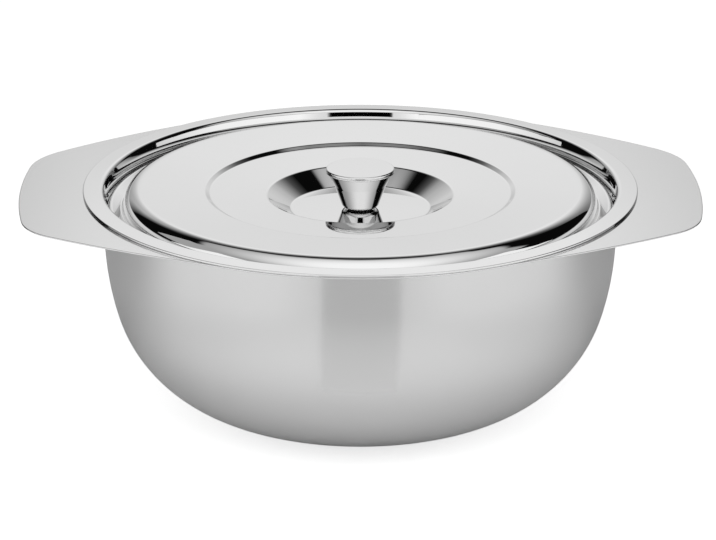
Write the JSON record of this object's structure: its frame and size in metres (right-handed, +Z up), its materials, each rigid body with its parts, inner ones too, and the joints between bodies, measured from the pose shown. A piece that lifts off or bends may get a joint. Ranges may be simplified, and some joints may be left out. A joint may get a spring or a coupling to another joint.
{
  "type": "insulated casserole",
  "caption": "Double-walled steel serving casserole: a bowl with flat wing handles on its brim, and an insulated lift-off lid with a flared knob.",
  "frame": {"origin": "middle of the base, on the surface the casserole stands on", "axes": "+Z up out of the mouth, along which the lid lifts off; X runs through the two wing handles; Y across"},
  "size_m": [0.3168, 0.2578, 0.1175],
  "materials": {
    "satin_steel": "satin",
    "polished_steel": "polished",
    "fastener_steel": "satin",
    "foam": "matte",
    "plug_plastic": "matte",
    "seal_rubber": "matte"
  },
  "bodies": {
    "bowl": {"outer_shell": "satin_steel", "inner_liner": "polished_steel", "body_foam": "foam", "body_fill_plug": "plug_plastic"},
    "lid": {"lid_top": "polished_steel", "lid_pan": "satin_steel", "lid_foam": "foam", "lid_fill_plug": "plug_plastic", "knob_seal": "seal_rubber", "knob_cup": "polished_steel", "knob_cap": "polished_steel", "knob_screw": "fastener_steel", "flat_washer": "fastener_steel", "spring_washer": "fastener_steel", "knob_nut": "fastener_steel"}
  },
  "joints": [
    {"name": "lid_lift", "type": "slide", "parent": "bowl", "child": "lid", "axis": [0, 0, 1], "range_m": [0, 0.08]}
  ]
}
